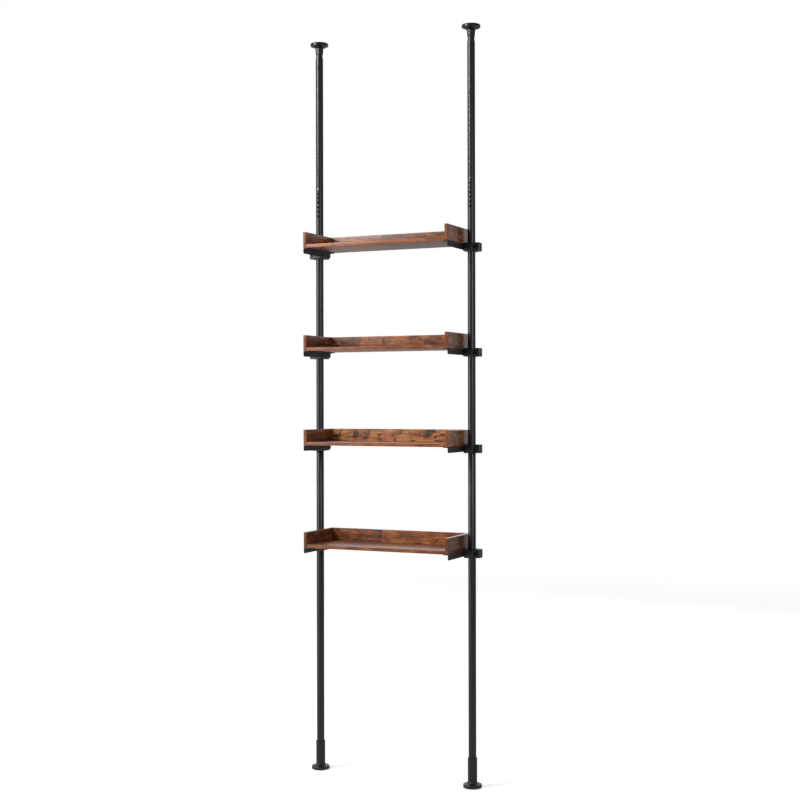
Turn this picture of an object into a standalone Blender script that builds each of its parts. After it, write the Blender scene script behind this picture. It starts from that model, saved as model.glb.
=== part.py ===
"""Floor-to-ceiling pole rack with four tray shelves, for the space over a toilet.

Metres, +Z up. The origin is on the floor, midway between the poles and at mid depth of
the shelves. The front of the rack faces -Y, and left and right are as seen from the front.
"""
import math

import bmesh
import bpy
from mathutils import Matrix, Vector

# Fits
FIT_GAP = 0.0003               # air between pieces that touch
SLIDE_GAP = 0.0003             # air all round a tube or rod that slides in another piece

# Poles
TUBE_OD = 0.025
TUBE_WALL = 0.0012
LOWER_TUBE_LENGTH = 1.055
UPPER_TUBE_LENGTH = 1.3025
POLE_GAP = 0.0065              # between a tube and the shelf's side panel
COUPLER_LENGTH = 0.120
COUPLER_WALL = 0.0015

# Feet
FOOT_DIAMETER = 0.060
FOOT_RIM = 0.009               # height of the flange's upright rim
FOOT_FLANGE = 0.0125           # height of the flange up to its sleeve
FOOT_SLEEVE_WALL = 0.0025
FOOT_SLEEVE_TOP = 0.0945       # above the floor
FOOT_FLARE = 0.003             # how far the sleeve's foot flares out onto the flange
FOOT_FLOOR = 0.0105            # plastic under the tube's end
SLEEVE_CHAMFER = 0.0012

# Rubber pads of the feet and of the ceiling cups
PAD_DIAMETER = 0.050
PAD_THICK = 0.003
PAD_PROUD = 0.0015             # how far a pad stands out of its seat
PAD_ROUND = 0.0006

# Adjustment holes and the sprung button that locks in one of them
HOLE_DIAMETER = 0.0065
HOLE_PITCH = 0.015
HOLE_COUNT = 25
HOLE_TOP_MARGIN = 0.1665       # top hole to the upper tube's end
BUTTON_HOLE = 18               # the hole that holds the button, counted down from the top hole
BUTTON_FLAT = 0.0002           # how far the button's face lies below the tube's face
BUTTON_SHOULDER = 0.0015       # how far its shoulder stands out all round
BUTTON_SHOULDER_THICK = 0.0015
BUTTON_ROUND = 0.0008
BUTTON_TO_END = 0.010          # button to the lower end of the inner tube
SPRING_STRIP = 0.0006
SPRING_WIDTH = 0.006
SPRING_DROP = 0.030            # straight run of the spring's legs below the button
SPRING_ABOVE = 0.004           # length of the legs above the button

# Inner tube and the jack at its top
INNER_WALL = 0.0012
INNER_SHOW = 0.011             # inner tube to be seen above the upper tube
GUIDE_RIM = 0.002
GUIDE_DEPTH = 0.025
STEM_DIAMETER = 0.010
STEM_LENGTH = 0.100
NUT_DIAMETER = 0.0275
NUT_HEIGHT = 0.022
NUT_TAPER = 0.0015             # how far its side draws in from top to bottom
NUT_CHAMFER = 0.001
CUP_DIAMETER = 0.060
CUP_RIM = 0.0085               # height of the cup's upright rim
CUP_HEIGHT = 0.0145
CUP_NECK = 0.001               # how far the cup's underside stands out past the nut
CUP_SOCKET = 0.008             # depth of the stem's socket in the cup

# Shelves
SHELF_LENGTH = 0.508
SHELF_DEPTH = 0.188
BOARD_THICK = 0.011
TRAY_HEIGHT = 0.051            # underside of the deck to the top of the panels
POLE_SETBACK = 0.150           # shelf's front to the pole's axis
BOARD_ROUND = 0.0007
SHELF_HEIGHTS = {              # floor to the underside of each deck
    "bottom": 0.753,
    "lower": 1.085,
    "upper": 1.391,
    "top": 1.725,
}

# Steel angles under the shelf's ends
BRACKET_STEEL = 0.002
BRACKET_SEAT = 0.018           # width of the flange under the deck
BRACKET_LEG = 0.018            # height of the upright flange, seat included
BRACKET_END = 0.001            # from the shelf's front and back
BRACKET_CORNER = 0.006

# Split clamps on the poles
CLAMP_HEIGHT = 0.027
CLAMP_RISE = 0.0045            # top of the clamp above the deck's underside
CLAMP_JAW = 0.0142             # plastic in front of and behind the tube
CLAMP_SHOULDER = 0.0014        # jaws past the bore, on the outer side
CLAMP_TAIL = 0.009             # mounting tail behind the rear jaw, along the bracket's leg
CLAMP_TAIL_THICK = 0.006
CLAMP_TAIL_SLANT = 0.005       # how much shorter the tail is at its foot
CLAMP_EAR_REACH = 0.0177       # ears past the bore
CLAMP_EAR_LIP = 0.014          # thickness of each ear
CLAMP_SLIT = 0.004
CLAMP_CORNER = 0.003
CLAMP_ROUND = 0.0008

# Facets
TUBE_STEPS = 32
TURN_STEPS = 28
SMALL_STEPS = 14
HOLE_SIDES = 10
CORNER_STEPS = 3
BEND_STEPS = 10

# Sizes worked out from the ones above
TUBE_RADIUS = TUBE_OD / 2
TUBE_BORE = TUBE_RADIUS - TUBE_WALL
INNER_RADIUS = TUBE_BORE - SLIDE_GAP
INNER_BORE = INNER_RADIUS - INNER_WALL
STEM_RADIUS = STEM_DIAMETER / 2
STEM_BORE = STEM_RADIUS + SLIDE_GAP
BUTTON_RADIUS = HOLE_DIAMETER / 2 - SLIDE_GAP
PAD_RADIUS = PAD_DIAMETER / 2
PAD_SEAT = PAD_THICK - PAD_PROUD + FIT_GAP
CLAMP_BORE = TUBE_RADIUS + FIT_GAP
POLE_X = SHELF_LENGTH / 2 + POLE_GAP + TUBE_RADIUS
POLE_Y = POLE_SETBACK - SHELF_DEPTH / 2

# Heights along a pole
FOOT_BASE = PAD_PROUD
SOCKET_FLOOR = FOOT_BASE + PAD_SEAT + FOOT_FLOOR
LOWER_TUBE_BASE = SOCKET_FLOOR + FIT_GAP
SEAM = LOWER_TUBE_BASE + LOWER_TUBE_LENGTH
UPPER_TUBE_BASE = SEAM + FIT_GAP
TUBE_TOP = UPPER_TUBE_BASE + UPPER_TUBE_LENGTH
TOP_HOLE = TUBE_TOP - HOLE_TOP_MARGIN
BUTTON_HEIGHT = TOP_HOLE - BUTTON_HOLE * HOLE_PITCH
INNER_BASE = BUTTON_HEIGHT - BUTTON_TO_END
INNER_TOP = TUBE_TOP + INNER_SHOW
GUIDE_BASE = INNER_TOP + FIT_GAP
NUT_BASE = GUIDE_BASE + GUIDE_RIM + FIT_GAP
CUP_BASE = NUT_BASE + NUT_HEIGHT + FIT_GAP
CUP_TOP = CUP_BASE + CUP_HEIGHT
STEM_TOP = CUP_BASE + CUP_SOCKET - FIT_GAP

OBJECT_NAME = "pole_rack"
SIDES = {"left": -1, "right": 1}
UPRIGHT = Matrix(((0, 0, 1), (1, 0, 0), (0, 1, 0))).to_4x4()   # stands a plate's XY up in YZ


def new_collection(name):
    collection = bpy.data.collections.new(name)
    bpy.context.scene.collection.children.link(collection)
    return collection


def new_material(name, colour, roughness, metallic=0.0):
    material = bpy.data.materials.new(name)
    material.use_nodes = True
    shader = material.node_tree.nodes["Principled BSDF"]
    shader.inputs["Base Color"].default_value = (*colour, 1.0)
    shader.inputs["Roughness"].default_value = roughness
    shader.inputs["Metallic"].default_value = metallic
    return material


def new_empty(name, location):
    empty = bpy.data.objects.new(name, None)
    empty.location = location
    PARTS.objects.link(empty)
    return empty


def new_part(name, mesh, material, parent, location=(0, 0, 0)):
    """A sub-part: a mesh with its material, placed on its parent empty."""
    part = bpy.data.objects.new(name, mesh)
    mesh.materials.append(material)
    part.parent = parent
    part.location = location
    PARTS.objects.link(part)
    return part


def new_cutter(name, mesh, parent, location=(0, 0, 0)):
    cutter = bpy.data.objects.new(name, mesh)
    cutter.parent = parent
    cutter.location = location
    cutter.hide_render = True
    cutter.display_type = "WIRE"
    CUTTERS.objects.link(cutter)
    return cutter


def boolean(part, other, operation):
    modifier = part.modifiers.new(operation.lower(), "BOOLEAN")
    modifier.operation = operation
    modifier.solver = "EXACT"
    modifier.object = other


def round_edges(part, width, segments=2):
    modifier = part.modifiers.new("rounded edges", "BEVEL")
    modifier.width = width
    modifier.segments = segments
    modifier.limit_method = "ANGLE"
    modifier.angle_limit = math.radians(60)


def box_mesh(name, size):
    mesh = bpy.data.meshes.new(name)
    shape = bmesh.new()
    bmesh.ops.create_cube(shape, size=1.0)
    bmesh.ops.scale(shape, vec=Vector(size), verts=shape.verts)
    shape.to_mesh(mesh)
    shape.free()
    return mesh


def profile_mesh(name, points, closed):
    """Points (radius, height) joined by edges, for a Screw modifier to turn about Z."""
    mesh = bpy.data.meshes.new(name)
    shape = bmesh.new()
    corners = [shape.verts.new((radius, 0, height)) for radius, height in points]
    for first, second in zip(corners, corners[1:]):
        shape.edges.new((first, second))
    if closed:
        shape.edges.new((corners[-1], corners[0]))
    shape.to_mesh(mesh)
    shape.free()
    return mesh


def turned(name, points, material, parent, location=(0, 0, 0), closed=False, steps=TURN_STEPS):
    """A turned piece. Its outline runs down its outer side, and a closed one leaves a bore."""
    part = new_part(name, profile_mesh(name, points, closed), material, parent, location)
    modifier = part.modifiers.new("turned", "SCREW")
    modifier.steps = steps
    modifier.render_steps = steps
    modifier.use_merge_vertices = True
    modifier.merge_threshold = 0.00001
    modifier.use_smooth_shade = True
    return part


def tube(name, outer, inner, base, length, material, parent, steps=TUBE_STEPS):
    outline = [(outer, length), (outer, 0), (inner, 0), (inner, length)]
    return turned(name, outline, material, parent, (0, 0, base), closed=True, steps=steps)


def plate_mesh(name, outline, thickness):
    """A flat outline in XY, filled and given its thickness upwards from Z = 0."""
    curve = bpy.data.curves.new(name, "CURVE")
    curve.dimensions = "2D"
    curve.fill_mode = "BOTH"
    curve.extrude = thickness / 2
    spline = curve.splines.new("POLY")
    spline.points.add(len(outline) - 1)
    for point, (x, y) in zip(spline.points, outline):
        point.co = (x, y, 0, 1)
    spline.use_cyclic_u = True
    guide = bpy.data.objects.new(name, curve)
    bpy.context.scene.collection.objects.link(guide)
    bpy.context.view_layer.update()
    evaluated = guide.evaluated_get(bpy.context.evaluated_depsgraph_get())
    mesh = bpy.data.meshes.new_from_object(evaluated)
    bpy.data.objects.remove(guide)
    bpy.data.curves.remove(curve)
    shape = bmesh.new()
    shape.from_mesh(mesh)
    bmesh.ops.remove_doubles(shape, verts=shape.verts, dist=0.00001)
    bmesh.ops.translate(shape, vec=(0, 0, thickness / 2), verts=shape.verts)
    bmesh.ops.recalc_face_normals(shape, faces=shape.faces)
    shape.to_mesh(mesh)
    shape.free()
    return mesh


def rounded(outline, radius, corners):
    """The outline with an arc in place of each corner whose number is in corners."""
    points = []
    for number, corner in enumerate(outline):
        if number not in corners:
            points.append(corner)
            continue
        here = Vector(corner)
        before = (Vector(outline[number - 1]) - here).normalized()
        after = (Vector(outline[(number + 1) % len(outline)]) - here).normalized()
        centre = here + (before + after) * radius
        for step in range(CORNER_STEPS + 1):
            turn = math.pi / 2 * step / CORNER_STEPS
            offset = -after * math.cos(turn) - before * math.sin(turn)
            points.append(tuple(centre + offset * radius))
    return points


def rod_along_y(shape, radius, near, far, height):
    """Adds a round bar that lies along Y between near and far, at the given height."""
    middle = Matrix.Translation((0, (near + far) / 2, height))
    bmesh.ops.create_cone(
        shape, cap_ends=True, segments=HOLE_SIDES, radius1=radius, radius2=radius,
        depth=abs(far - near), matrix=middle @ Matrix.Rotation(math.pi / 2, 4, "X"))


def hole_cutter(name, radius, near, far, heights, parent):
    """One bar for each hole in the front of a tube."""
    mesh = bpy.data.meshes.new(name)
    shape = bmesh.new()
    for height in heights:
        rod_along_y(shape, radius, near, far, height)
    shape.to_mesh(mesh)
    shape.free()
    return new_cutter(name, mesh, parent)


def pad_outline(low, high):
    """A rubber disc with its two rims rounded off."""
    return [
        (0, high),
        (PAD_RADIUS - PAD_ROUND, high),
        (PAD_RADIUS, high - PAD_ROUND),
        (PAD_RADIUS, low + PAD_ROUND),
        (PAD_RADIUS - PAD_ROUND, low),
        (0, low),
    ]


def make_foot(side, pole):
    """The rubber floor pad and the plastic cup that the lower tube stands in."""
    turned(f"{side}_floor_pad", pad_outline(0, PAD_THICK), RUBBER, pole)
    bore = TUBE_RADIUS + FIT_GAP
    sleeve = bore + FOOT_SLEEVE_WALL
    seat = PAD_RADIUS + FIT_GAP
    flange_top = FOOT_BASE + FOOT_FLANGE
    rim_top = FOOT_BASE + FOOT_RIM
    foot_radius = FOOT_DIAMETER / 2
    outline = [
        (0, SOCKET_FLOOR),
        (bore, SOCKET_FLOOR),
        (bore, FOOT_SLEEVE_TOP),
        (sleeve - SLEEVE_CHAMFER, FOOT_SLEEVE_TOP),
        (sleeve, FOOT_SLEEVE_TOP - SLEEVE_CHAMFER),
        (sleeve, flange_top + FOOT_FLARE),
        (sleeve + FOOT_FLARE, flange_top),
        (foot_radius - SLEEVE_CHAMFER, rim_top + SLEEVE_CHAMFER),
        (foot_radius, rim_top),
        (foot_radius, FOOT_BASE),
        (seat, FOOT_BASE),
        (seat, FOOT_BASE + PAD_SEAT),
        (0, FOOT_BASE + PAD_SEAT),
    ]
    turned(f"{side}_foot_cup", outline, NYLON, pole)


def make_tubes(side, pole):
    """The fixed tubes of a pole and the sleeve that joins them inside the seam."""
    tube(f"{side}_lower_tube", TUBE_RADIUS, TUBE_BORE, LOWER_TUBE_BASE, LOWER_TUBE_LENGTH,
         POWDER_COAT, pole)
    coupler = TUBE_BORE - FIT_GAP
    tube(f"{side}_tube_coupler", coupler, coupler - COUPLER_WALL, SEAM - COUPLER_LENGTH / 2,
         COUPLER_LENGTH, ZINC, pole, TURN_STEPS)
    upper = tube(f"{side}_upper_tube", TUBE_RADIUS, TUBE_BORE, UPPER_TUBE_BASE, UPPER_TUBE_LENGTH,
                 POWDER_COAT, pole)
    heights = [TOP_HOLE - number * HOLE_PITCH for number in range(HOLE_COUNT)]
    holes = hole_cutter(f"{side}_adjustment_holes", HOLE_DIAMETER / 2,
                        -TUBE_RADIUS - TUBE_WALL, -TUBE_BORE / 2, heights, pole)
    boolean(upper, holes, "DIFFERENCE")


def make_inner_tube(side, pole):
    """The telescoping tube with the button that locks it and the button's spring."""
    inner = tube(f"{side}_inner_tube", INNER_RADIUS, INNER_BORE, INNER_BASE, INNER_TOP - INNER_BASE,
                 POWDER_COAT, pole, TURN_STEPS)
    hole = hole_cutter(f"{side}_button_hole", HOLE_DIAMETER / 2,
                       -INNER_RADIUS - INNER_WALL, -INNER_BORE / 2, [BUTTON_HEIGHT], pole)
    boolean(inner, hole, "DIFFERENCE")

    shoulder_radius = BUTTON_RADIUS + BUTTON_SHOULDER
    shoulder = math.sqrt((INNER_BORE - FIT_GAP) ** 2 - shoulder_radius ** 2)
    back = shoulder - BUTTON_SHOULDER_THICK
    face = TUBE_RADIUS - BUTTON_FLAT
    outline = [
        (0, face),
        (BUTTON_RADIUS - BUTTON_ROUND, face),
        (BUTTON_RADIUS, face - BUTTON_ROUND),
        (BUTTON_RADIUS, shoulder),
        (shoulder_radius, shoulder),
        (shoulder_radius, back),
        (0, back),
    ]
    button = turned(f"{side}_lock_button", outline, ZINC, pole, (0, 0, BUTTON_HEIGHT), steps=SMALL_STEPS)
    button.rotation_euler.x = math.pi / 2
    make_button_spring(side, pole, -back + FIT_GAP)


def make_button_spring(side, pole, front):
    """A leaf bent to a U: one leg behind the button, the other against the tube's back wall."""
    half_width = SPRING_WIDTH / 2
    front_leg = front + SPRING_STRIP / 2
    back_leg = math.sqrt((INNER_BORE - FIT_GAP) ** 2 - half_width ** 2) - SPRING_STRIP / 2
    bend = (back_leg - front_leg) / 2
    middle = (back_leg + front_leg) / 2
    path = [(front_leg, SPRING_ABOVE)]
    for step in range(BEND_STEPS + 1):
        turn = math.pi * step / BEND_STEPS
        path.append((middle - bend * math.cos(turn), -SPRING_DROP - bend * math.sin(turn)))
    path.append((back_leg, SPRING_ABOVE))
    mesh = bpy.data.meshes.new(f"{side}_button_spring")
    shape = bmesh.new()
    rows = [[shape.verts.new((x, y, z)) for x in (-half_width, half_width)] for y, z in path]
    for (left, right), (next_left, next_right) in zip(rows, rows[1:]):
        shape.faces.new((left, right, next_right, next_left))
    shape.to_mesh(mesh)
    shape.free()
    spring = new_part(f"{side}_button_spring", mesh, SPRING_STEEL, pole, (0, 0, BUTTON_HEIGHT))
    strip = spring.modifiers.new("strip", "SOLIDIFY")
    strip.thickness = SPRING_STRIP
    strip.offset = 0
    strip.use_even_offset = True


def make_jack(side, pole):
    """The guide plug, the hand nut on it, and the stem that carries the ceiling cup."""
    guide_rim = INNER_RADIUS
    guide_body = INNER_BORE - FIT_GAP
    outline = [
        (STEM_BORE, GUIDE_RIM),
        (guide_rim, GUIDE_RIM),
        (guide_rim, 0),
        (guide_body, 0),
        (guide_body, -GUIDE_DEPTH),
        (STEM_BORE, -GUIDE_DEPTH),
    ]
    turned(f"{side}_stem_guide", outline, NYLON, pole, (0, 0, GUIDE_BASE), closed=True)

    nut = NUT_DIAMETER / 2
    outline = [
        (STEM_BORE, NUT_HEIGHT),
        (nut - NUT_CHAMFER, NUT_HEIGHT),
        (nut, NUT_HEIGHT - NUT_CHAMFER),
        (nut - NUT_TAPER, NUT_CHAMFER),
        (nut - NUT_TAPER - NUT_CHAMFER, 0),
        (STEM_BORE, 0),
    ]
    turned(f"{side}_tension_nut", outline, NYLON, pole, (0, 0, NUT_BASE), closed=True)

    outline = [(0, 0), (STEM_RADIUS, 0), (STEM_RADIUS, -STEM_LENGTH), (0, -STEM_LENGTH)]
    turned(f"{side}_jack_stem", outline, ZINC, pole, (0, 0, STEM_TOP), steps=SMALL_STEPS)

    cup = CUP_DIAMETER / 2
    seat = PAD_RADIUS + FIT_GAP
    socket = STEM_RADIUS + FIT_GAP
    outline = [
        (0, CUP_HEIGHT - PAD_SEAT),
        (seat, CUP_HEIGHT - PAD_SEAT),
        (seat, CUP_HEIGHT),
        (cup, CUP_HEIGHT),
        (cup, CUP_HEIGHT - CUP_RIM),
        (nut + CUP_NECK, 0),
        (socket, 0),
        (socket, CUP_SOCKET),
        (0, CUP_SOCKET),
    ]
    turned(f"{side}_ceiling_cup", outline, NYLON, pole, (0, 0, CUP_BASE))
    pad_base = CUP_HEIGHT - PAD_SEAT + FIT_GAP
    turned(f"{side}_ceiling_pad", pad_outline(pad_base, pad_base + PAD_THICK), RUBBER, pole,
           (0, 0, CUP_BASE))


def make_board(name, shelf, size, centre):
    board = new_part(name, box_mesh(name, size), BOARD, shelf, centre)
    round_edges(board, BOARD_ROUND)


def make_tray(level, shelf):
    """Deck and back panel between the two side panels, all standing on the deck's underside."""
    mid_height = TRAY_HEIGHT / 2
    panel_x = (SHELF_LENGTH - BOARD_THICK) / 2
    for side, sign in SIDES.items():
        make_board(f"{level}_shelf_{side}_panel", shelf, (BOARD_THICK, SHELF_DEPTH, TRAY_HEIGHT),
                   (sign * panel_x, 0, mid_height))
    inside = SHELF_LENGTH - 2 * (BOARD_THICK + FIT_GAP)
    back_y = (SHELF_DEPTH - BOARD_THICK) / 2
    make_board(f"{level}_shelf_back_panel", shelf, (inside, BOARD_THICK, TRAY_HEIGHT),
               (0, back_y, mid_height))
    deck_depth = SHELF_DEPTH - BOARD_THICK - FIT_GAP
    make_board(f"{level}_shelf_deck", shelf, (inside, deck_depth, BOARD_THICK),
               (0, (deck_depth - SHELF_DEPTH) / 2, BOARD_THICK / 2))


def make_bracket(level, side, sign, shelf):
    """A steel angle: a seat under the deck and an upright leg with its lower corners rounded."""
    name = f"{level}_shelf_{side}_bracket"
    length = SHELF_DEPTH - 2 * BRACKET_END
    outer = SHELF_LENGTH / 2
    top = -FIT_GAP
    leg_outline = [(-length / 2, -BRACKET_LEG), (length / 2, -BRACKET_LEG), (length / 2, 0),
                   (-length / 2, 0)]
    mesh = plate_mesh(name, rounded(leg_outline, BRACKET_CORNER, (0, 1)), BRACKET_STEEL)
    mesh.transform(UPRIGHT)
    leg_x = outer - BRACKET_STEEL if sign > 0 else -outer
    leg = new_part(name, mesh, POWDER_COAT, shelf, (leg_x, 0, top))
    seat = new_cutter(f"{name}_seat", box_mesh(f"{name}_seat", (BRACKET_SEAT, length, BRACKET_STEEL)),
                      shelf, (sign * (outer - BRACKET_SEAT / 2), 0, top - BRACKET_STEEL / 2))
    boolean(leg, seat, "UNION")


def make_clamp(level, side, sign, shelf):
    """A split clamp: jaws round the tube, two ears and a slit on the outer side, and a tail that
    lies along the bracket's leg behind the rear jaw."""
    name = f"{level}_shelf_{side}_clamp"
    inner = TUBE_RADIUS + POLE_GAP - FIT_GAP
    shoulder = CLAMP_BORE + CLAMP_SHOULDER
    ear = CLAMP_BORE + CLAMP_EAR_REACH
    jaw = CLAMP_BORE + CLAMP_JAW
    lip = CLAMP_SLIT / 2 + CLAMP_EAR_LIP
    tail = jaw + CLAMP_TAIL
    tail_side = CLAMP_TAIL_THICK - inner
    outline = [(-inner, -jaw), (shoulder, -jaw), (shoulder, -lip), (ear, -lip), (ear, lip),
               (shoulder, lip), (shoulder, jaw), (tail_side, jaw), (tail_side, tail), (-inner, tail)]
    outline = rounded(outline, CLAMP_CORNER, (0, 1, 3, 4, 6))
    mirrored = [(sign * across, along) for across, along in outline]
    place = (sign * POLE_X, POLE_Y, CLAMP_RISE - CLAMP_HEIGHT)
    clamp = new_part(name, plate_mesh(name, mirrored, CLAMP_HEIGHT), NYLON, shelf, place)
    round_edges(clamp, CLAMP_ROUND, 1)

    bore = turned_cutter(f"{name}_bore", CLAMP_BORE, CLAMP_HEIGHT, shelf, place)
    boolean(clamp, bore, "DIFFERENCE")
    slit_size = (2 * CLAMP_EAR_REACH + CLAMP_BORE, CLAMP_SLIT, 2 * CLAMP_HEIGHT)
    slit_place = (place[0] + sign * slit_size[0] / 2, POLE_Y, place[2] + CLAMP_HEIGHT / 2)
    slit = new_cutter(f"{name}_slit", box_mesh(f"{name}_slit", slit_size), shelf, slit_place)
    boolean(clamp, slit, "DIFFERENCE")

    # The wedge behind the tail's slanted end, drawn half as tall again so that it runs past both edges.
    spare = CLAMP_HEIGHT / 2
    lean = CLAMP_TAIL_SLANT * spare / CLAMP_HEIGHT
    wedge = [(tail - CLAMP_TAIL_SLANT - lean, -spare), (tail + CLAMP_TAIL, -spare),
             (tail + CLAMP_TAIL, CLAMP_HEIGHT + spare), (tail + lean, CLAMP_HEIGHT + spare)]
    mesh = plate_mesh(f"{name}_tail_end", wedge, 2 * inner)
    mesh.transform(UPRIGHT)
    wedge_place = (place[0] - sign * inner - inner, POLE_Y, place[2])
    boolean(clamp, new_cutter(f"{name}_tail_end", mesh, shelf, wedge_place), "DIFFERENCE")


def turned_cutter(name, radius, height, parent, place):
    """A round bar that runs past both ends of the given height."""
    mesh = bpy.data.meshes.new(name)
    shape = bmesh.new()
    bmesh.ops.create_cone(
        shape, cap_ends=True, segments=TUBE_STEPS, radius1=radius, radius2=radius,
        depth=2 * height, matrix=Matrix.Translation((0, 0, height / 2)))
    shape.to_mesh(mesh)
    shape.free()
    return new_cutter(name, mesh, parent, place)


def make_pole(side, sign):
    pole = new_empty(f"{side}_pole", (sign * POLE_X, POLE_Y, 0))
    make_foot(side, pole)
    make_tubes(side, pole)
    make_inner_tube(side, pole)
    make_jack(side, pole)


def make_shelf(level, height):
    shelf = new_empty(f"{level}_shelf", (0, 0, height))
    make_tray(level, shelf)
    for side, sign in SIDES.items():
        make_bracket(level, side, sign, shelf)
        make_clamp(level, side, sign, shelf)


for leftover in list(bpy.data.objects):
    bpy.data.objects.remove(leftover)

PARTS = new_collection(OBJECT_NAME)
CUTTERS = new_collection(f"{OBJECT_NAME}_cutters")

POWDER_COAT = new_material("black powder-coated steel", (0.016, 0.016, 0.018), 0.42)
NYLON = new_material("black moulded nylon", (0.012, 0.012, 0.013), 0.5)
RUBBER = new_material("black rubber", (0.010, 0.010, 0.010), 0.85)
ZINC = new_material("zinc-plated steel", (0.55, 0.55, 0.56), 0.35, 1.0)
SPRING_STEEL = new_material("spring steel", (0.30, 0.30, 0.31), 0.3, 1.0)
BOARD = new_material("rustic brown laminated board", (0.19, 0.075, 0.032), 0.45)

for side_name, side_sign in SIDES.items():
    make_pole(side_name, side_sign)
for level_name, deck_height in SHELF_HEIGHTS.items():
    make_shelf(level_name, deck_height)
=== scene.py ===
"""Looks of a floor-to-ceiling pole rack: four tray shelves of rustic brown board that are
clamped between two black telescoping steel poles. Metres, +Z up, the front faces -Y."""
import math

import bmesh
import bpy
import numpy as np
from mathutils import Matrix, Vector


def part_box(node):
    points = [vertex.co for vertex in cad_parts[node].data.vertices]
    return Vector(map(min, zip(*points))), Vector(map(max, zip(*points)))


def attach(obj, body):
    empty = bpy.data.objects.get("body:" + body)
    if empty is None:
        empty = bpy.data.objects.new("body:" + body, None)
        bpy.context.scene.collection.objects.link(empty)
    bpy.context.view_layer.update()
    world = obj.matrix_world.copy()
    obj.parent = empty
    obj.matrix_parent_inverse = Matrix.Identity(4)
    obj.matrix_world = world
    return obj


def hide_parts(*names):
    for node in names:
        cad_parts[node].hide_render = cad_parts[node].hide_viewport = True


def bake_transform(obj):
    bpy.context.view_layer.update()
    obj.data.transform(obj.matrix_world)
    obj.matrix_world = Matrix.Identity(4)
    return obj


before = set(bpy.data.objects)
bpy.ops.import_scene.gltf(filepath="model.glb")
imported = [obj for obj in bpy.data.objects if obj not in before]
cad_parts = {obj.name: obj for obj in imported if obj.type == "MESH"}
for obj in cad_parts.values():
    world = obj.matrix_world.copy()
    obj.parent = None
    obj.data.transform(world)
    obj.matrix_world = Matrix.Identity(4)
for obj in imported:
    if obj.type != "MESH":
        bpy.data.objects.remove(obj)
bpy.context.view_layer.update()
SIDES = {"left": -1, "right": 1}
LEVELS = ("bottom", "lower", "upper", "top")
FIT_GAP = 0.0003               # air that the solids keep between pieces that touch
WELD = 0.000002                # points closer than this become one
SLIVER = 0.000001              # edges shorter than this are dropped


def node_box(node):
    """A solid's low corner, high corner and middle, and half its width."""
    low, high = (np.array(corner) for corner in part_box(node))
    return low, high, (low + high) / 2, (high[0] - low[0]) / 2


# Surfaces

def grid_faces(rows, columns, first=0):
    """Quads of a grid whose points are numbered row by row from first."""
    corner = first + np.arange(rows - 1)[:, None] * columns + np.arange(columns - 1)[None, :]
    quads = np.stack([corner, corner + 1, corner + columns + 1, corner + columns], axis=-1)
    return quads.reshape(-1, 4)


def join_grids(grids):
    """Points and quads of several grids (rows, columns, 3) laid one after the other."""
    points, quads, first = [], [], 0
    for grid in grids:
        points.append(grid.reshape(-1, 3))
        quads.append(grid_faces(grid.shape[0], grid.shape[1], first))
        first += grid.shape[0] * grid.shape[1]
    return np.concatenate(points), np.concatenate(quads)


def capped(rings):
    """The surface of rings of points (rings, points, 3), each closed on itself, and its end faces."""
    count = rings.shape[1]
    last = (len(rings) - 1) * (count + 1)
    ends = [range(count), range(last, last + count)]
    return join_grids([np.concatenate([rings, rings[:, :1]], axis=1)]), ends


def add_piece(name, surface, materials, body, nodes=(), finish=None, caps=(), sharp=40):
    """A closed mesh of a surface's points and quads, welded at its seams, with its faces turned out.
    finish gives each quad's material number, caps are flat faces with many corners, and edges that
    turn by more than sharp degrees stay crisp. A piece without a body is left for a blend."""
    points, quads = surface
    mesh = bpy.data.meshes.new(name)
    faces = [*quads.tolist(), *[list(cap) for cap in caps]]
    mesh.from_pydata(points.tolist(), [], faces)
    for material in materials:
        mesh.materials.append(material)
    if finish is not None:
        mesh.polygons.foreach_set("material_index", np.asarray(finish, dtype=np.int32))
    shape = bmesh.new()
    shape.from_mesh(mesh)
    bmesh.ops.remove_doubles(shape, verts=shape.verts, dist=WELD)
    bmesh.ops.dissolve_degenerate(shape, edges=shape.edges, dist=SLIVER)
    bmesh.ops.recalc_face_normals(shape, faces=shape.faces)
    shape.to_mesh(mesh)
    shape.free()
    mesh.shade_smooth()
    mesh.set_sharp_from_angle(angle=math.radians(sharp))
    piece = bpy.data.objects.new(name, mesh)
    bpy.context.scene.collection.objects.link(piece)
    if body:
        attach(piece, body)
    if nodes:
        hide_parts(*nodes)
    return piece


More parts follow.
